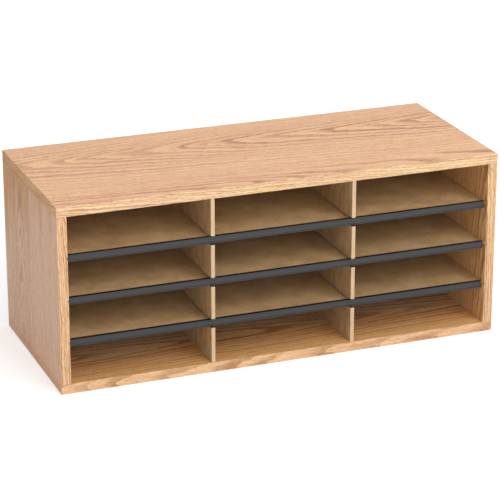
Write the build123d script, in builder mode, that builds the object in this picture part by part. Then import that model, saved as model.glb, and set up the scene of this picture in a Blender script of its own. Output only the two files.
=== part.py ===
from build123d import *
import os

# Literature organizer: an open-fronted oak case with three columns and four rows.
# Lengths are in millimetres. The origin is under the case, in the middle of its footprint.
# +X runs along the width, the open front faces -Y, and +Z is up.

# Case panels of laminated particleboard
case_width = 736.6
case_depth = 304.8
case_height = 304.8
panel_thickness = 15.9

# Edge bands glued to the raw edges that show
band_thickness = 1.0
band_edge_radius = 0.6

# Upright dividers, which stand in grooves in the top and bottom panels
divider_names = ["divider_left", "divider_right"]
divider_thickness = 6.35
divider_groove_depth = 4.0
divider_clearance = 0.2
divider_slot_gap = 2.6
divider_edge_radius = 0.5

# Full-width shelves, which slide in grooves in the side panels
shelf_names = ["lower", "middle", "upper"]
shelf_thickness = 3.2
shelf_groove_depth = 1.2
shelf_clearance = 0.2
shelf_end_clearance = 0.2
shelf_rear_clearance = 0.5

# Label strip: an extrusion that grips the front edge of a shelf
strip_height = 11.0
strip_rise = 1.8
strip_setback = 6.0
strip_wall = 1.1
strip_grip_depth = 6.0
strip_end_clearance = 2.2
strip_corner_radius = 0.25
label_slot_depth = 0.6
label_lip_thickness = 0.6
label_lip_height = 1.3

# Notch in a divider that lets a label strip pass
notch_gap_above = 2.8
notch_gap_below = 1.0
notch_gap_behind = 0.8

# Back panel, let into a rabbet around the rear opening
back_thickness = 3.2
back_rabbet_depth = 6.35
back_rabbet_width = 8.0
back_clearance = 0.4

# Brads that hold the back panel
nail_diameter = 1.5
nail_length = 19.0
nail_head_diameter = 3.2
nail_head_thickness = 0.6
nail_clearance = 0.05

# Dowels in the four corner joints
dowel_diameter = 8.0
dowel_length = 30.0
dowel_count = 3
dowel_edge_distance = 40.0
dowel_cover = 4.5
dowel_clearance = 0.1
dowel_end_clearance = 0.5
dowel_chamfer = 0.8

# Inner sizes of the case
inner_width = case_width - 2 * panel_thickness
inner_height = case_height - 2 * panel_thickness
core_width = case_width - 2 * band_thickness
core_depth = case_depth - band_thickness
core_centre_y = band_thickness / 2
side_centre_x = -(case_width - panel_thickness) / 2
case_front_y = -case_depth / 2
core_front_y = case_front_y + band_thickness
back_front_y = case_depth / 2 - back_rabbet_depth

# Columns between the dividers, and rows between the shelves
column_width = (inner_width - len(divider_names) * divider_thickness) / (len(divider_names) + 1)
column_pitch = column_width + divider_thickness
divider_x = [
    (i - (len(divider_names) - 1) / 2) * column_pitch for i in range(len(divider_names))
]
row_height = (inner_height - len(shelf_names) * shelf_thickness) / (len(shelf_names) + 1)
row_pitch = row_height + shelf_thickness
shelf_z = [
    panel_thickness + (i + 1) * row_pitch - shelf_thickness / 2 for i in range(len(shelf_names))
]

# Label strip and the shelf edge that it covers
strip_length = inner_width - 2 * strip_end_clearance
strip_front_y = case_front_y + strip_setback
strip_face_thickness = label_lip_thickness + label_slot_depth + strip_wall
shelf_front_y = strip_front_y + strip_face_thickness
strip_rear_y = shelf_front_y + strip_grip_depth
strip_top = shelf_thickness / 2 + strip_rise
strip_bottom = strip_top - strip_height

# Shelves and dividers, which interlock half way back
shelf_rear_y = back_front_y - shelf_rear_clearance
shelf_width = inner_width + 2 * (shelf_groove_depth - shelf_end_clearance)
shelf_groove_height = shelf_thickness + 2 * shelf_clearance
divider_slot_width = divider_thickness + 2 * divider_clearance
divider_height = inner_height + 2 * (divider_groove_depth - divider_clearance)
divider_slot_height = shelf_clearance + shelf_thickness + divider_slot_gap
interlock_y = (shelf_front_y + shelf_rear_y) / 2
divider_slot_rear_y = interlock_y + shelf_rear_clearance

# Planes that the pieces are built from
front_plane = Plane.XZ.offset(case_depth / 2)
middle_height_plane = Plane.XY.offset(case_height / 2)
left_inner_plane = Plane.YZ.offset(-inner_width / 2)
edge_radius = min(band_edge_radius, 0.8 * band_thickness)

# Dowels in the bottom left corner, by their middles
dowel_joint_depth = panel_thickness - dowel_cover
dowel_spacing = (case_depth - 2 * dowel_edge_distance) / (dowel_count - 1)
dowel_y = [case_front_y + dowel_edge_distance + i * dowel_spacing for i in range(dowel_count)]
dowel_hole_radius = dowel_diameter / 2 + dowel_clearance
dowel_bottom_z = panel_thickness - dowel_joint_depth + dowel_end_clearance
dowel_side_hole_depth = dowel_bottom_z + dowel_length + dowel_end_clearance - panel_thickness

# Brads: two in each column along the top and bottom, one in each row along the sides
nail_inset = back_rabbet_width / 2
column_centres = [
    (i - len(divider_names) / 2) * column_pitch for i in range(len(divider_names) + 1)
]
row_centres = [
    panel_thickness + row_height / 2 + i * row_pitch for i in range(len(shelf_names) + 1)
]
nail_x = [x + side * column_width / 4 for x in column_centres for side in (-1, 1)]
bottom_nails = [(x, panel_thickness - nail_inset) for x in nail_x]
left_nails = [(-inner_width / 2 - nail_inset, z) for z in row_centres]
nail_points = bottom_nails + left_nails
nail_points += [(x, case_height - z) for x, z in bottom_nails]
nail_points += [(-x, z) for x, z in left_nails]
nail_hole_radius = nail_diameter / 2 + nail_clearance
nail_plane = Plane.XZ.offset(-back_front_y - back_thickness)

os.makedirs("parts", exist_ok=True)


def save(part, label):
    """Label a finished piece and write it to its own file."""
    part.label = label
    export_step(part, f"parts/{label}.step")


# Bottom panel, with its divider grooves, rabbet and dowel holes
with BuildPart() as bottom_panel:
    with BuildSketch():
        with Locations((0, core_centre_y)):
            Rectangle(core_width, core_depth)
    extrude(amount=panel_thickness)
    with BuildSketch(Plane.XY.offset(panel_thickness)):
        with Locations([(x, 0) for x in divider_x]):
            Rectangle(divider_slot_width, case_depth)
    extrude(amount=-divider_groove_depth, mode=Mode.SUBTRACT)
    with BuildSketch(Plane.XY.offset(panel_thickness)):
        with Locations((0, case_depth / 2)):
            Rectangle(inner_width + 2 * back_rabbet_width, 2 * back_rabbet_depth)
    extrude(amount=-back_rabbet_width, mode=Mode.SUBTRACT)
    with Locations([(side * side_centre_x, y, panel_thickness) for side in (-1, 1) for y in dowel_y]):
        Hole(dowel_hole_radius, depth=dowel_joint_depth)
    with BuildSketch(nail_plane):
        with Locations(bottom_nails):
            Circle(nail_hole_radius)
    extrude(amount=nail_length, mode=Mode.SUBTRACT)
save(bottom_panel.part, "bottom_panel")

with BuildPart() as top_panel:
    mirror(bottom_panel.part, about=middle_height_plane)
save(top_panel.part, "top_panel")

# Left side panel, which stands between the bottom and top panels
with BuildPart() as left_side_panel:
    with BuildSketch(Plane.XY.offset(panel_thickness)):
        with Locations((side_centre_x, core_centre_y)):
            Rectangle(panel_thickness, core_depth)
    extrude(amount=inner_height)
    with BuildSketch(left_inner_plane):
        with Locations([(0, z) for z in shelf_z]):
            Rectangle(case_depth, shelf_groove_height)
    extrude(amount=-shelf_groove_depth, mode=Mode.SUBTRACT)
    with BuildSketch(left_inner_plane):
        with Locations((case_depth / 2, case_height / 2)):
            Rectangle(2 * back_rabbet_depth, inner_height)
    extrude(amount=-back_rabbet_width, mode=Mode.SUBTRACT)
    with BuildSketch(Plane.XY.offset(panel_thickness)) as dowel_holes:
        with Locations([(side_centre_x, y) for y in dowel_y]):
            Circle(dowel_hole_radius)
    extrude(amount=dowel_side_hole_depth, mode=Mode.SUBTRACT)
    with BuildSketch(Plane.XY.offset(case_height - panel_thickness)):
        add(dowel_holes.sketch_local)
    extrude(amount=-dowel_side_hole_depth, mode=Mode.SUBTRACT)
    with BuildSketch(nail_plane):
        with Locations(left_nails):
            Circle(nail_hole_radius)
    extrude(amount=nail_length, mode=Mode.SUBTRACT)
save(left_side_panel.part, "left_side_panel")

with BuildPart() as right_side_panel:
    mirror(left_side_panel.part, about=Plane.YZ)
save(right_side_panel.part, "right_side_panel")

# Front edge bands: the bottom and top ones run the whole width
with BuildPart() as bottom_front_edge_band:
    with BuildSketch(front_plane):
        with Locations((0, panel_thickness / 2)):
            Rectangle(case_width, panel_thickness)
    extrude(amount=-band_thickness)
    fillet(bottom_front_edge_band.faces().sort_by(Axis.Y)[0].edges(), edge_radius)
save(bottom_front_edge_band.part, "bottom_front_edge_band")

with BuildPart() as top_front_edge_band:
    mirror(bottom_front_edge_band.part, about=middle_height_plane)
save(top_front_edge_band.part, "top_front_edge_band")

# The side ones stand between them, and the shelf grooves run out through them
with BuildPart() as left_front_edge_band:
    with BuildSketch(front_plane):
        with Locations((side_centre_x, case_height / 2)):
            Rectangle(panel_thickness, inner_height)
    extrude(amount=-band_thickness)
    long_edges = left_front_edge_band.faces().sort_by(Axis.Y)[0].edges().filter_by(Axis.Z)
    fillet(long_edges, edge_radius)
    with BuildSketch(left_inner_plane):
        with Locations([(0, z) for z in shelf_z]):
            Rectangle(case_depth, shelf_groove_height)
    extrude(amount=-shelf_groove_depth, mode=Mode.SUBTRACT)
save(left_front_edge_band.part, "left_front_edge_band")

with BuildPart() as right_front_edge_band:
    mirror(left_front_edge_band.part, about=Plane.YZ)
save(right_front_edge_band.part, "right_front_edge_band")

# End edge bands close the ends of the bottom and top panels behind the front bands
with BuildPart() as bottom_left_end_band:
    with BuildSketch(Plane.YZ.offset(-case_width / 2)):
        with Locations((core_centre_y, panel_thickness / 2)):
            Rectangle(core_depth, panel_thickness)
    extrude(amount=band_thickness)
    long_edges = bottom_left_end_band.faces().sort_by(Axis.X)[0].edges().filter_by(Axis.Y)
    fillet(long_edges, edge_radius)
save(bottom_left_end_band.part, "bottom_left_end_band")

with BuildPart() as bottom_right_end_band:
    mirror(bottom_left_end_band.part, about=Plane.YZ)
save(bottom_right_end_band.part, "bottom_right_end_band")

with BuildPart() as top_left_end_band:
    mirror(bottom_left_end_band.part, about=middle_height_plane)
save(top_left_end_band.part, "top_left_end_band")

with BuildPart() as top_right_end_band:
    mirror(bottom_right_end_band.part, about=middle_height_plane)
save(top_right_end_band.part, "top_right_end_band")

# Back panel
with BuildPart() as back_panel:
    with BuildSketch(nail_plane):
        with Locations((0, case_height / 2)):
            Rectangle(
                inner_width + 2 * (back_rabbet_width - back_clearance),
                inner_height + 2 * (back_rabbet_width - back_clearance),
            )
        with Locations(nail_points):
            Circle(nail_hole_radius, mode=Mode.SUBTRACT)
    extrude(amount=back_thickness)
save(back_panel.part, "back_panel")

# Brads, driven through the back panel from behind
with BuildPart() as back_panel_nails:
    with BuildSketch(nail_plane):
        with Locations(nail_points):
            Circle(nail_diameter / 2)
    extrude(amount=nail_length)
    with BuildSketch(nail_plane):
        with Locations(nail_points):
            Circle(nail_head_diameter / 2)
    extrude(amount=-nail_head_thickness)
save(back_panel_nails.part, "back_panel_nails")

# Dividers, notched at the front for the strips and slotted loosely half way back for the shelves
for label, x in zip(divider_names, divider_x):
    with BuildPart() as divider:
        with BuildSketch(Plane.YZ.offset(x - divider_thickness / 2)):
            with Locations((core_front_y, case_height / 2)):
                Rectangle(
                    back_front_y - divider_clearance - core_front_y,
                    divider_height,
                    align=(Align.MIN, Align.CENTER),
                )
            with Locations([(core_front_y, z - shelf_groove_height / 2) for z in shelf_z]):
                Rectangle(
                    divider_slot_rear_y - core_front_y,
                    divider_slot_height,
                    align=(Align.MIN, Align.MIN),
                    mode=Mode.SUBTRACT,
                )
            with Locations([(core_front_y, z + strip_bottom - notch_gap_below) for z in shelf_z]):
                Rectangle(
                    strip_rear_y + notch_gap_behind - core_front_y,
                    strip_height + notch_gap_below + notch_gap_above,
                    align=(Align.MIN, Align.MIN),
                    mode=Mode.SUBTRACT,
                )
        extrude(amount=divider_thickness)
        fillet(divider.edges().filter_by(Axis.Z).group_by(Axis.Y)[0], divider_edge_radius)
    save(divider.part, label)

# Shelves, slotted from the rear to half way for the dividers
for name, z in zip(shelf_names, shelf_z):
    with BuildPart() as shelf:
        with BuildSketch(Plane.XY.offset(z - shelf_thickness / 2)):
            with Locations((0, shelf_front_y)):
                Rectangle(
                    shelf_width,
                    shelf_rear_y - shelf_front_y,
                    align=(Align.CENTER, Align.MIN),
                )
            with Locations([(x, shelf_rear_y) for x in divider_x]):
                Rectangle(
                    divider_slot_width,
                    shelf_rear_y - interlock_y + shelf_rear_clearance,
                    align=(Align.CENTER, Align.MAX),
                    mode=Mode.SUBTRACT,
                )
        extrude(amount=shelf_thickness)
    save(shelf.part, f"shelf_{name}")

# Label strips: a face with a lip above and below for a paper label, and two grip flanges
for name, z in zip(shelf_names, shelf_z):
    with BuildPart() as label_strip:
        with BuildSketch(Plane.YZ.offset(-strip_length / 2)) as section:
            with Locations((strip_front_y, z + strip_bottom)):
                Rectangle(strip_face_thickness, strip_height, align=(Align.MIN, Align.MIN))
            with Locations((strip_front_y, z)):
                Rectangle(
                    strip_rear_y - strip_front_y,
                    shelf_thickness + 2 * strip_wall,
                    align=(Align.MIN, Align.CENTER),
                )
            with Locations((shelf_front_y, z)):
                Rectangle(
                    strip_grip_depth,
                    shelf_thickness,
                    align=(Align.MIN, Align.CENTER),
                    mode=Mode.SUBTRACT,
                )
            with Locations((strip_front_y, z + strip_bottom + label_lip_height)):
                Rectangle(
                    label_lip_thickness,
                    strip_height - 2 * label_lip_height,
                    align=(Align.MIN, Align.MIN),
                    mode=Mode.SUBTRACT,
                )
            with Locations(
                (strip_front_y + label_lip_thickness, z + strip_bottom + label_lip_thickness)
            ):
                Rectangle(
                    label_slot_depth,
                    strip_height - 2 * label_lip_thickness,
                    align=(Align.MIN, Align.MIN),
                    mode=Mode.SUBTRACT,
                )
            fillet(section.vertices().group_by(Axis.X)[0], strip_corner_radius)
        extrude(amount=strip_length)
    save(label_strip.part, f"label_strip_{name}")

# Dowels: one group for each corner joint
with BuildPart() as bottom_left_dowels:
    with Locations([(side_centre_x, y, dowel_bottom_z) for y in dowel_y]):
        Cylinder(dowel_diameter / 2, dowel_length, align=(Align.CENTER, Align.CENTER, Align.MIN))
    chamfer(bottom_left_dowels.edges().filter_by(GeomType.CIRCLE), dowel_chamfer)
save(bottom_left_dowels.part, "bottom_left_dowels")

with BuildPart() as bottom_right_dowels:
    mirror(bottom_left_dowels.part, about=Plane.YZ)
save(bottom_right_dowels.part, "bottom_right_dowels")

with BuildPart() as top_left_dowels:
    mirror(bottom_left_dowels.part, about=middle_height_plane)
save(top_left_dowels.part, "top_left_dowels")

with BuildPart() as top_right_dowels:
    mirror(bottom_right_dowels.part, about=middle_height_plane)
save(top_right_dowels.part, "top_right_dowels")
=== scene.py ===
import math
from typing import NamedTuple

import bpy
from mathutils import Matrix, Vector


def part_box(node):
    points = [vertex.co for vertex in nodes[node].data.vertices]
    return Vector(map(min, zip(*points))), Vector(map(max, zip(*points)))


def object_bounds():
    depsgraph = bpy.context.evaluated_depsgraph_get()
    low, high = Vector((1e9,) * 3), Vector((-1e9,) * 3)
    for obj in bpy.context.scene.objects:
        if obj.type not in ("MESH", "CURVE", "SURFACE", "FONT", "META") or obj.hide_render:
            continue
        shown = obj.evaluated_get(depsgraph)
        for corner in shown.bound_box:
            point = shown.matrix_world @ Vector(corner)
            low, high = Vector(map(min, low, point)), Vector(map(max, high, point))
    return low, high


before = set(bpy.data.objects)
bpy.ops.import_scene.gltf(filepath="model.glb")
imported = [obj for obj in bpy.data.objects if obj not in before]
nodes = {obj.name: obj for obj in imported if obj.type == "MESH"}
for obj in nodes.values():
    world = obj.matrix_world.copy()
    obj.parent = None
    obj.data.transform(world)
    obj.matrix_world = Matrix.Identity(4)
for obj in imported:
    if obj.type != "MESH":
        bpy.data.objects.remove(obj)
cad_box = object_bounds()

# The organizer's reach and the thickness of its panels in mm, by which the grain is placed on it
MM = 1000.0
LEFT, FRONT = MM * cad_box[0][0], MM * cad_box[0][1]
RIGHT, TOP = MM * cad_box[1][0], MM * cad_box[1][2]
PANEL = 15.9


def linear(shade):
    """An sRGB hex value as the linear colour that a shader takes."""
    parts = [int(shade[i : i + 2], 16) / 255 for i in (1, 3, 5)]
    return [p / 12.92 if p <= 0.04045 else ((p + 0.055) / 1.055) ** 2.4 for p in parts] + [1.0]


def add(tree, kind, sockets=None, stops=None, **settings):
    """Adds a node with its settings. A socket is given a value, or another node or its output to join.
    Stops are the places and shades of a colour ramp."""
    node = tree.nodes.new("ShaderNode" + kind)
    for name, value in settings.items():
        setattr(node, name, value)
    for name, value in (sockets or {}).items():
        if isinstance(name, int):
            socket = node.inputs[name]
        else:
            socket = next(s for s in node.inputs if s.enabled and s.name == name)
        if isinstance(value, bpy.types.Node):
            value = next(s for s in value.outputs if s.enabled)
        if isinstance(value, bpy.types.NodeSocket):
            tree.links.new(value, socket)
        else:
            socket.default_value = value
    if stops:
        ramp = node.color_ramp.elements
        ramp.remove(ramp[1])
        ramp[0].position, ramp[0].color = stops[0][0], linear(stops[0][1])
        for place, shade in stops[1:]:
            ramp.new(place).color = linear(shade)
    return node


def start_finish(name):
    """A new material, its empty tree and the object coordinates that its patterns lie on."""
    material = bpy.data.materials.new(name)
    material.use_nodes = True
    tree = material.node_tree
    tree.nodes.clear()
    return material, tree, add(tree, "TexCoord")


# Lacquer, pressed fibre with its resin, and vinyl bend light alike. It is also the shader's default,
# which the steel keeps.
IOR = 1.5


def end_finish(tree, shade, rough, height, strength, relief, metal=0.0):
    """Makes the surface of its colour, its roughness and a bump with its relief in mm."""
    bump = add(tree, "Bump", {"Strength": strength, "Distance": relief / MM, "Height": height})
    surface = add(tree, "BsdfPrincipled", {
        "Base Color": shade, "Roughness": rough, "IOR": IOR, "Metallic": metal, "Normal": bump,
    })
    add(tree, "OutputMaterial", {"Surface": surface})


# Oak veneer, sliced flat from the log and sealed with a satin lacquer. The eye gets pointed arches
# where the face cuts the growth rings: dark early wood with rows of open pores, and dense pale late
# wood between them. The rings are pointed ovals round the pith, which runs along the grain a little out
# of line with the board. Off to the sides of the arches the rings are cut squarer, and their lines are
# finer and paler. Each stretched pattern has its length along the grain, its width across it (both in
# mm) and its detail. Fibres, pores and flecks are drawn wider than real ones, so that they show.
GRAIN = {
    "wander": (260.0, 70.0, 2.0),
    "ripple": (36.0, 8.0, 2.0),
    "patch": (110.0, 10.0, 1.0),
    "tone": (320.0, 36.0, 2.0),
    "fibre": (30.0, 3.2, 4.0),
    "pore": (9.0, 1.0, 1.0),
    "fleck": (7.0, 1.2, 0.0),
}
# Where in the noise a pattern starts and where it is full, and how strong it is at each
RANGES = {
    "patch": (0.3, 0.6, 0.7, 1.0),
    "fibre": (0.3, 0.7, 0.0, 1.0),
    "pore": (0.52, 0.64, 0.0, 1.0),
    "fleck": (0.62, 0.74, 0.0, 0.4),
}
# How far the slow patterns, which swing about zero, bend the rings, in mm
BENDS = {"wander": 3.2, "ripple": 0.9}
# The power of an oval: 1 would be a diamond and 2 a circle.
POINTED = 1.6
# Between these distances beside the pith, in mm, the lines on a panel fade to this share.
FADE_START, FADE_END, FADED = 30.0, 80.0, 0.5
MARK_SHADE = "#8F5F3C"
# The thickness of veneer and the size of the chips in the particleboard under it, in mm
SKIN = 0.4
CHIP = 3.0


class Leaf(NamedTuple):
    """A leaf of veneer and how it lay in its log. The turn brings its grain to X, its width to Y and the
    way into the log to Z, and the shift then brings the pith to the origin. The shift and the width of a
    ring are in mm, and blunt is the power of the ovals. A lopsided log has narrower rings on one side."""

    turn: tuple
    shift: tuple
    ring: float
    blunt: float = POINTED
    lopsided: float = 0.0


def lay_in_log(tree, place, leaf, seam):
    """Where in its log each place of a board lay, in mm, then the leaf beyond the seam, and which places
    lie there. A board with no seam is one leaf."""
    leaves = [leaf, seam[2]] if seam else [leaf]
    logs = [
        add(tree, "Mapping", {
            "Vector": place.outputs["Object"], "Location": lain.shift, "Rotation": lain.turn,
            "Scale": (MM, MM, MM),
        })
        for lain in leaves
    ]
    if not seam:
        return logs[0], leaf, 0.0
    axis, edge, other = seam
    across = add(tree, "SeparateXYZ", {"Vector": place.outputs["Object"]}).outputs[axis]
    beyond = add(tree, "Math", {0: across, 1: edge / MM}, operation="LESS_THAN")
    log = add(tree, "Mix", {"Factor": beyond, "A": logs[0], "B": logs[1]}, data_type="VECTOR")
    return log, other, beyond


def stretch_patterns(tree, log):
    """The patterns of the grain, by their use."""
    patterns = {}
    for use, (length, width, detail) in GRAIN.items():
        stretched = add(tree, "VectorMath", {
            0: log, 1: (1 / length, 1 / width, 1 / width),
        }, operation="MULTIPLY")
        patterns[use] = add(tree, "TexNoise", {
            "Vector": stretched, "Scale": 1.0, "Detail": detail, "Roughness": 0.6,
        }, normalize=use not in BENDS)
    for use, (start, full, weak, strong) in RANGES.items():
        patterns[use] = add(tree, "MapRange", {
            "Value": patterns[use], "From Min": start, "From Max": full, "To Min": weak, "To Max": strong,
        })
    return patterns


def count_rings(tree, log, patterns, leaf, other, beyond):
    """How many rings, and how many mm, each place is from the pith. Years of fast and of slow growth
    come in runs of about five."""
    grown = log
    for use, far in BENDS.items():
        grown = add(tree, "VectorMath", {
            0: patterns[use].outputs["Color"], 1: (0, far, far), 2: grown,
        }, operation="MULTIPLY_ADD")
    ring = add(tree, "MapRange", {"Value": beyond, "To Min": leaf.ring, "To Max": other.ring})
    blunt = add(tree, "MapRange", {"Value": beyond, "To Min": leaf.blunt, "To Max": other.blunt})
    lean = add(tree, "MapRange", {"Value": beyond, "To Min": leaf.lopsided, "To Max": other.lopsided})
    lean = add(tree, "VectorMath", {0: (0, 1, 0), "Scale": lean}, operation="SCALE")
    off = add(tree, "VectorMath", {0: grown}, operation="ABSOLUTE")
    off = add(tree, "VectorMath", {0: off, 1: lean, 2: grown}, operation="MULTIPLY_ADD")
    off = add(tree, "VectorMath", {0: off}, operation="ABSOLUTE")
    oval = add(tree, "VectorMath", {0: off, 1: blunt}, operation="POWER")
    oval = add(tree, "VectorMath", {0: oval, 1: (0, 1, 1)}, operation="DOT_PRODUCT")
    root = add(tree, "Math", {0: 1.0, 1: blunt}, operation="DIVIDE")
    radius = add(tree, "Math", {0: oval.outputs["Value"], 1: root}, operation="POWER")
    rings = add(tree, "Math", {0: radius, 1: ring}, operation="DIVIDE")
    growth = add(tree, "TexNoise", {"W": rings, "Scale": 0.2}, noise_dimensions="1D", normalize=False)
    return add(tree, "Math", {0: rings, 1: growth}, operation="ADD"), off


def draw_early_wood(tree, patterns, rings, off, faded):
    """How strongly the dark line of each ring shows. Years and patches differ, and beside the pith the
    lines fade."""
    within = add(tree, "Math", {0: rings}, operation="FRACT")
    number = add(tree, "Math", {0: rings}, operation="FLOOR")
    line = add(tree, "ValToRGB", {"Fac": within}, stops=[
        (0.0, "#000000"), (0.08, "#FFFFFF"), (0.3, "#E0E0E0"), (0.55, "#707070"), (0.8, "#000000"),
    ])
    year = add(tree, "TexWhiteNoise", {"W": number}, noise_dimensions="1D")
    year = add(tree, "MapRange", {"Value": year, "To Min": 0.5, "To Max": 1.0})
    beside = add(tree, "SeparateXYZ", {"Vector": off}).outputs["Y"]
    fade = add(tree, "MapRange", {
        "Value": beside, "From Min": FADE_START, "From Max": FADE_END, "To Min": 1.0, "To Max": faded,
    })
    for share in (year, patterns["patch"], fade):
        line = add(tree, "Math", {0: line, 1: share}, operation="MULTIPLY")
    return line


def colour_veneer(tree, log, patterns, line, pore, shades, tint, drift):
    """The shades of late and early wood, under streaks of fibre and the drifting tint, with pores and
    flecks marked on them."""
    shade = add(tree, "Mix", {
        "Factor": line, "A": linear(shades[0]), "B": linear(shades[1]),
    }, data_type="RGBA")
    streak = add(tree, "ValToRGB", {"Fac": patterns["fibre"]}, stops=[(0.0, "#E8DCD2"), (1.0, "#FFFFFF")])
    drifted = add(tree, "VectorMath", {0: log, 1: drift}, operation="DOT_PRODUCT").outputs["Value"]
    tone = add(tree, "Math", {0: patterns["tone"], 1: drifted}, operation="ADD")
    warm = add(tree, "ValToRGB", {"Fac": tone}, stops=[(0.35, tint[0]), (0.65, tint[1])])
    for film in (streak, warm):
        shade = add(tree, "Mix", {
            "Factor": 1.0, "A": shade, "B": film,
        }, data_type="RGBA", blend_type="MULTIPLY")
    marks = add(tree, "Math", {0: pore, 1: patterns["fleck"]}, operation="MAXIMUM")
    return add(tree, "Mix", {"Factor": marks, "A": shade, "B": linear(MARK_SHADE)}, data_type="RGBA")


def lay_backing(tree, place, backing, shade, fibre):
    """A plain sheet in the place of veneer, on what lies lower than the backing's height."""
    height, shades = backing
    level = add(tree, "SeparateXYZ", {"Vector": place.outputs["Object"]}).outputs["Z"]
    backed = add(tree, "Math", {0: level, 1: height / MM}, operation="LESS_THAN")
    sheet = add(tree, "Mix", {
        "Factor": fibre, "A": linear(shades[0]), "B": linear(shades[1]),
    }, data_type="RGBA")
    return add(tree, "Mix", {"Factor": backed, "A": shade, "B": sheet}, data_type="RGBA")


def bare_core(tree, place, core, shade, height, rough):
    """Particleboard on a panel's raw edges, between its two skins of veneer."""
    axis, middle = core
    depth = add(tree, "SeparateXYZ", {"Vector": place.outputs["Object"]}).outputs[axis]
    depth = add(tree, "Math", {0: depth, 1: MM, 2: -middle}, operation="MULTIPLY_ADD")
    depth = add(tree, "Math", {0: depth}, operation="ABSOLUTE")
    inside = add(tree, "Math", {0: depth, 1: PANEL / 2 - SKIN}, operation="LESS_THAN")
    chips = add(tree, "VectorMath", {
        0: place.outputs["Object"], 1: (MM / CHIP,) * 3,
    }, operation="MULTIPLY")
    chip = add(tree, "TexVoronoi", {"Vector": chips, "Scale": 1.0})
    chip_shade = add(tree, "ValToRGB", {"Fac": chip.outputs["Color"]}, stops=[
        (0.1, "#7A5634"), (0.35, "#B58C5C"), (0.6, "#CDA875"), (0.9, "#E3C697"),
    ])
    shade = add(tree, "Mix", {"Factor": inside, "A": shade, "B": chip_shade}, data_type="RGBA")
    height = add(tree, "Mix", {
        "Factor": inside, "A": height, "B": chip.outputs["Distance"],
    }, data_type="FLOAT")
    rough = add(tree, "Mix", {"Factor": inside, "A": rough, "B": 0.8}, data_type="FLOAT")
    return shade, height, rough


def oak(name, shades, leaf, seam=None, core=None, tint=("#FBEBE2", "#FFF9E6"), drift=(0, 0, 0),
        backing=None):
    """Oak in its shades of late and early wood. A seam is an axis, a place on it in mm, and another leaf,
    which lies before that place. A core, which only a panel has, is the axis through the board and the
    place of its middle in mm. Drift is how fast the tint changes along and across the grain, per mm; on
    the bottom panel it turns the tint paler and cooler towards the back, which is painted light in the
    deep of the compartments. A backing is the height in mm under which the board has no veneer, and its
    shades."""
    material, tree, place = start_finish(name)
    log, other, beyond = lay_in_log(tree, place, leaf, seam)
    patterns = stretch_patterns(tree, log)
    rings, off = count_rings(tree, log, patterns, leaf, other, beyond)
    line = draw_early_wood(tree, patterns, rings, off, FADED if core else 1.0)
    pore = add(tree, "Math", {0: patterns["pore"], 1: line}, operation="MULTIPLY")
    shade = colour_veneer(tree, log, patterns, line, pore, shades, tint, drift)
    if backing:
        shade = lay_backing(tree, place, backing, shade, patterns["fibre"])
    height = add(tree, "Math", {0: patterns["fibre"], 1: pore}, operation="SUBTRACT")
    rough = add(tree, "MapRange", {"Value": pore, "To Min": 0.42, "To Max": 0.6})
    if core:
        shade, height, rough = bare_core(tree, place, core, shade, height, rough)
    end_finish(tree, shade, rough, height, 0.25, 0.1)
    return material


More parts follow.
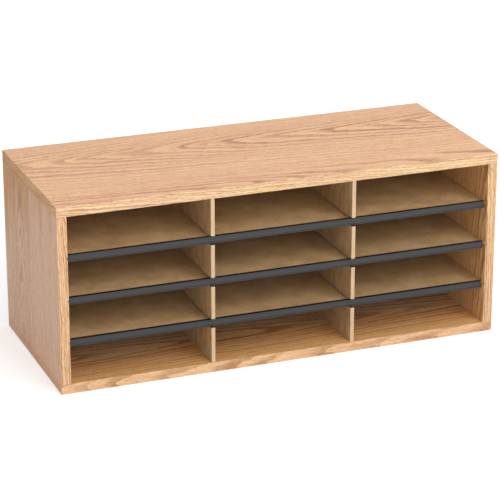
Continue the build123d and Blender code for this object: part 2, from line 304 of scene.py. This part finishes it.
# The panels and their edge bands, each with grain of its own. The front of the top is a second leaf.
QUARTER = math.pi / 2
finishes = {
    "top_panel": oak(
        "oak_veneer_top", ("#F8CEA6", "#BB8053"),
        Leaf((0, 0.075, 0), (0, -66, 95 - TOP), 5.4, lopsided=0.27),
        seam=("Y", -112.0, Leaf((0, -0.07, 0), (0, 157, 50 - TOP), 7.5, blunt=2.5)),
        core=("Z", TOP - PANEL / 2), backing=(TOP - PANEL + SKIN, ("#BCA68A", "#D1BD9F"))),
    # The bottom's tint grows paler and cooler towards the back: painted light in the deep of the
    # compartments.
    "bottom_panel": oak(
        "oak_veneer_bottom", ("#F6D2A6", "#A7704A"),
        Leaf((0, -0.046, 0), (0, 54, 60 - PANEL), 6.0),
        core=("Z", PANEL / 2), tint=("#FBE7C5", "#FFFFFF"), drift=(0, 0.006, 0)),
    "left_side_panel": oak(
        "oak_veneer_left", ("#E8C0A1", "#CCA183"),
        Leaf((0, QUARTER - 0.09, 0), (-196, -57, 56 + LEFT), 5.0),
        core=("X", LEFT + PANEL / 2), tint=("#FFFFFF", "#E9D29D"), drift=(0.0035, 0.0015, 0)),
    "right_side_panel": oak(
        "oak_veneer_right", ("#E8C08E", "#A67348"),
        Leaf((0, QUARTER + 0.06, 0), (0, 150, RIGHT - PANEL - 60), 5.0),
        core=("X", RIGHT - PANEL / 2)),
    "top_front_edge_band": oak(
        "oak_top_front_edge_band", ("#F6DDBB", "#BA895D"),
        Leaf((QUARTER, 0.042, 0), (0, 350, 50 - FRONT), 2.6)),
    "bottom_front_edge_band": oak(
        "oak_bottom_front_edge_band", ("#EECFAB", "#C4946A"),
        Leaf((QUARTER, 0.06, 0), (0, 4, 70 - FRONT), 5.0)),
    "left_front_edge_band": oak(
        "oak_left_front_edge_band", ("#F2D4AE", "#AE7E50"),
        Leaf((QUARTER + 0.02, 0, QUARTER), (0, 328, 50 - FRONT), 1.9)),
    "right_front_edge_band": oak(
        "oak_right_front_edge_band", ("#EDCFA9", "#AA7849"),
        Leaf((QUARTER - 0.02, 0, QUARTER), (0, -325, 50 - FRONT), 2.6)),
    "top_left_end_band": oak(
        "oak_top_left_end_band", ("#EBC08E", "#BE966A"),
        Leaf((0, QUARTER, -0.15 - QUARTER), (74, 340, 50 + LEFT), 3.4),
        tint=("#FFFEF4", "#EFD8B0"), drift=(0.0016, 0, 0)),
    "bottom_left_end_band": oak(
        "oak_bottom_left_end_band", ("#E8C4A4", "#C19676"),
        Leaf((0, QUARTER, 0.03 - QUARTER), (30, 44, 50 + LEFT), 3.0)),
    "top_right_end_band": oak(
        "oak_top_right_end_band", ("#E2B996", "#B58257"),
        Leaf((0, QUARTER, 0.03 - QUARTER), (60, 340, 50 + RIGHT), 2.6)),
    "bottom_right_end_band": oak(
        "oak_bottom_right_end_band", ("#E2B996", "#B58257"),
        Leaf((0, QUARTER, 0.03 - QUARTER), (90, 44, 50 + RIGHT), 2.6)),
}

# Hardboard, wood fibre pressed hot between a polished plate and a wire screen: a smooth mottled brown
# face, and on the other side a duller one, cloudy with fibres, that holds the print of the screen. The
# real wires are finer than the pitch here, which is in mm. The clumps of fibre and the broad clouds are
# given as how many there are to a mm.
SCREEN_PITCH = 2.4
CLUMPS, CLOUDS = 0.45, 0.03


def hardboard(name, shades, screen, screen_shades):
    """Hardboard with the shades of its smooth face, the way that its screen side faces, and the shades
    of that side."""
    material, tree, place = start_finish(name)
    mm = add(tree, "VectorMath", {0: place.outputs["Object"], 1: (MM, MM, MM)}, operation="MULTIPLY")
    fine = add(tree, "TexNoise", {"Vector": mm, "Scale": CLUMPS, "Detail": 4.0, "Roughness": 0.65})
    broad = add(tree, "TexNoise", {"Vector": mm, "Scale": CLOUDS, "Detail": 3.0, "Roughness": 0.6})
    mottle = add(tree, "Mix", {"Factor": 0.5, "A": fine, "B": broad}, data_type="FLOAT")
    smooth = add(tree, "ValToRGB", {"Fac": mottle}, stops=[(0.35, shades[0]), (0.65, shades[1])])
    cloudy = add(tree, "ValToRGB", {"Fac": mottle}, stops=[
        (0.38, screen_shades[0]), (0.62, screen_shades[1]),
    ])
    facing = add(tree, "VectorMath", {0: place.outputs["Normal"], 1: screen}, operation="DOT_PRODUCT")
    printed = add(tree, "Math", {0: facing.outputs["Value"], 1: 0.5}, operation="GREATER_THAN")
    shade = add(tree, "Mix", {"Factor": printed, "A": smooth, "B": cloudy}, data_type="RGBA")
    rough = add(tree, "MapRange", {"Value": printed, "To Min": 0.55, "To Max": 0.85})
    wires = add(tree, "VectorMath", {0: mm, 1: (2 * math.pi / SCREEN_PITCH,) * 3}, operation="MULTIPLY")
    wires = add(tree, "VectorMath", {0: wires}, operation="SINE")
    wires = add(tree, "SeparateXYZ", {"Vector": wires}).outputs
    warp, weft = [wires[i] for i in range(3) if not screen[i]]
    dents = add(tree, "Math", {0: warp, 1: weft}, operation="MULTIPLY")
    faint = add(tree, "Math", {0: fine, 1: 0.15}, operation="MULTIPLY")
    height = add(tree, "Mix", {"Factor": printed, "A": faint, "B": dents}, data_type="FLOAT")
    end_finish(tree, shade, rough, height, 0.5, 0.25)
    return material


shelf_board = hardboard("hardboard_shelf", ("#B18B60", "#D8B584"), (0, 0, -1), ("#8E7B60", "#B29F84"))
back_board = hardboard("hardboard_back", ("#CBC1AE", "#D8CFBF"), (0, 1, 0), ("#A58760", "#BDA27B"))


def plain(name, shades, size, roughness, relief, metal=0.0, front=None, level=None):
    """A finish with one fine pattern, whose size along each axis and relief are in mm. What lies before
    the front's place, also in mm, takes the front's shades, and faces that look up or down take the
    level shade."""
    material, tree, place = start_finish(name)
    stretched = add(tree, "VectorMath", {
        0: place.outputs["Object"], 1: [MM / length for length in size],
    }, operation="MULTIPLY")
    fine = add(tree, "TexNoise", {"Vector": stretched, "Scale": 1.0, "Detail": 3.0, "Roughness": 0.6})
    shade = add(tree, "ValToRGB", {"Fac": fine}, stops=[(0.3, shades[0]), (0.7, shades[1])])
    # On the vinyl the front's shades are a painted sheen; on the fibreboard they are its paler edge.
    if front:
        edge, front_shades = front
        forward = add(tree, "SeparateXYZ", {"Vector": place.outputs["Object"]}).outputs["Y"]
        forward = add(tree, "Math", {0: forward, 1: edge / MM}, operation="LESS_THAN")
        front_shade = add(tree, "ValToRGB", {"Fac": fine}, stops=[
            (0.3, front_shades[0]), (0.7, front_shades[1]),
        ])
        shade = add(tree, "Mix", {"Factor": forward, "A": shade, "B": front_shade}, data_type="RGBA")
    # The level shade darkens faces that look up or down: painted shade, on the fibreboard over its raw cut
    # colour.
    if level:
        upright = add(tree, "SeparateXYZ", {"Vector": place.outputs["Normal"]}).outputs["Z"]
        upright = add(tree, "Math", {0: upright}, operation="ABSOLUTE")
        flat = add(tree, "Math", {0: upright, 1: 0.5}, operation="GREATER_THAN")
        shade = add(tree, "Mix", {"Factor": flat, "A": shade, "B": linear(level)}, data_type="RGBA")
    rough = add(tree, "MapRange", {"Value": fine, "To Min": roughness[0], "To Max": roughness[1]})
    end_finish(tree, shade, rough, fine, 0.3, relief, metal)
    return material


# Fibreboard, pressed and sawn: matt and softly clouded, with a paler sanded front edge, whose depth is
# in mm. The level faces in its slots and notches are dark: raw saw cuts, darkened further as painted
# shade.
EDGE_DEPTH = 0.8
divider_board = plain(
    "fibreboard_divider", ("#9C7850", "#BC9C76"), (12.0, 12.0, 24.0), (0.5, 0.65), 0.05,
    front=(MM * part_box("divider_left")[0][1] + EDGE_DEPTH, ("#CAAA82", "#D4B58F")), level="#4A3626")

# Black vinyl, extruded: a satin finish with faint draw lines along its length. Its faces that look up or
# down are nearly black, a painted shade, and its face is a little greyer, a painted sheen; the face's
# depth is in mm.
FACE_DEPTH = 1.3
vinyl = plain(
    "black_extruded_vinyl", ("#2E2F30", "#37383A"), (120.0, 0.5, 0.5), (0.32, 0.45), 0.02,
    front=(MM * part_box("label_strip_upper")[0][1] + FACE_DEPTH, ("#343436", "#3E3E41")), level="#111112")

# Beech, turned: pale, and close in the grain. Steel wire, drawn and headed: bright, and a little dulled.
beech = plain("beech_dowel", ("#C99E6B", "#E0BC8C"), (0.4, 0.4, 12.0), (0.5, 0.6), 0.05)
steel = plain("bright_steel_brad", ("#B4B6B8", "#CFD1D3"), (0.3, 0.3, 0.3), (0.25, 0.4), 0.01, metal=1.0)

# Pieces of one kind are alike, and a word in their names tells the kind.
finishes["back_panel"] = back_board
finishes["back_panel_nails"] = steel
alike = {"shelf_": shelf_board, "label_strip_": vinyl, "divider_": divider_board, "_dowels": beech}
for nodename, piece in nodes.items():
    finish = finishes.get(nodename) or next(alike[word] for word in alike if word in nodename)
    piece.data.materials.clear()
    piece.data.materials.append(finish)

# Floor: a pale sheet just under the organizer, in metres. The camera sees it lifted to white, more so
# further away where the lamps fade, and its shade under the organizer stays.
FLOOR_RADIUS = 9.0
FLOOR_DROP = 0.0002
NEAR, NEAR_LIFT = 0.6, 0.42
FAR, FAR_LIFT = 1.6, 0.7
bpy.ops.object.select_all(action="DESELECT")
bpy.ops.mesh.primitive_circle_add(
    vertices=96, radius=FLOOR_RADIUS, fill_type="NGON", location=(0, 0, -FLOOR_DROP)
)
floor = bpy.context.object
floor.name = "floor"
material, tree, place = start_finish("pale_paper_floor")
paper = add(tree, "BsdfDiffuse", {"Color": linear("#E9E9E9")})
path = add(tree, "LightPath").outputs
away = add(tree, "VectorMath", {0: place.outputs["Object"]}, operation="LENGTH")
lift = add(tree, "MapRange", {
    "Value": away.outputs["Value"], "From Min": NEAR, "From Max": FAR, "To Min": NEAR_LIFT,
    "To Max": FAR_LIFT,
})
lift = add(tree, "Math", {0: lift, 1: path["Is Camera Ray"]}, operation="MULTIPLY")
lift = add(tree, "Emission", {"Strength": lift})
add(tree, "OutputMaterial", {"Surface": add(tree, "AddShader", {0: paper, 1: lift})})
floor.data.materials.append(material)

# World: plain soft light, and white where it is seen directly or in a gloss.
WORLD_LIGHT = 0.48
world = bpy.data.worlds.new("studio")
bpy.context.scene.world = world
world.use_nodes = True
tree = world.node_tree
tree.nodes.clear()
path = add(tree, "LightPath").outputs
seen = add(tree, "Math", {0: path["Is Camera Ray"], 1: path["Is Glossy Ray"]}, operation="MAXIMUM")
seen = add(tree, "Math", {0: seen, 1: path["Is Transmission Ray"]}, operation="MAXIMUM")
strength = add(tree, "MapRange", {"Value": seen, "To Min": WORLD_LIGHT, "To Max": 1.0})
background = add(tree, "Background", {"Color": (1, 1, 1, 1), "Strength": strength})
add(tree, "OutputWorld", {"Surface": background})

# Lamps: square soft ones that face the organizer. Each has the way to it, its distance and its size in
# metres, and its share, which is how bright it makes a white face turned to it. The low one reaches
# into the compartments.
LAMPS_FACE = (0, 0, 0.15)
for name, (towards, distance, size, share) in {
    "front_softbox": ((0.32, -0.8, 0.57), 3.2, 2.2, 0.52),
    "low_softbox": ((-0.36, -0.93, 0.27), 4.2, 1.2, 0.13),
    "left_softbox": ((-0.85, -0.5, 0.25), 3.5, 2.0, 0.12),
    "overhead_softbox": ((0.1, -0.05, 1.0), 3.0, 2.5, 0.22),
}.items():
    lamp = bpy.data.lights.new(name, "AREA")
    lamp.size = size
    lamp.energy = share * math.pi**2 * distance**2
    light = bpy.data.objects.new(name, lamp)
    bpy.context.scene.collection.objects.link(light)
    direction = Vector(towards).normalized()
    light.location = Vector(LAMPS_FACE) + direction * distance
    light.rotation_euler = direction.to_track_quat("Z", "Y").to_euler()

# Camera: it stands to the left of the organizer and looks down on it, through a long lens.
CAMERA_PLACE = (-1.2587, -3.2742, 1.4368)
YAW, PITCH = math.radians(21.044), math.radians(20.337)
camera_data = bpy.data.cameras.new("camera")
camera_data.lens = 165.0
camera_data.sensor_width = 36.0
camera = bpy.data.objects.new("camera", camera_data)
bpy.context.scene.collection.objects.link(camera)
camera.matrix_world = (
    Matrix.Translation(CAMERA_PLACE)
    @ Matrix.Rotation(-YAW, 4, "Z")
    @ Matrix.Rotation(QUARTER - PITCH, 4, "X")
)
bpy.context.scene.camera = camera
bpy.context.scene.view_settings.view_transform = "Standard"
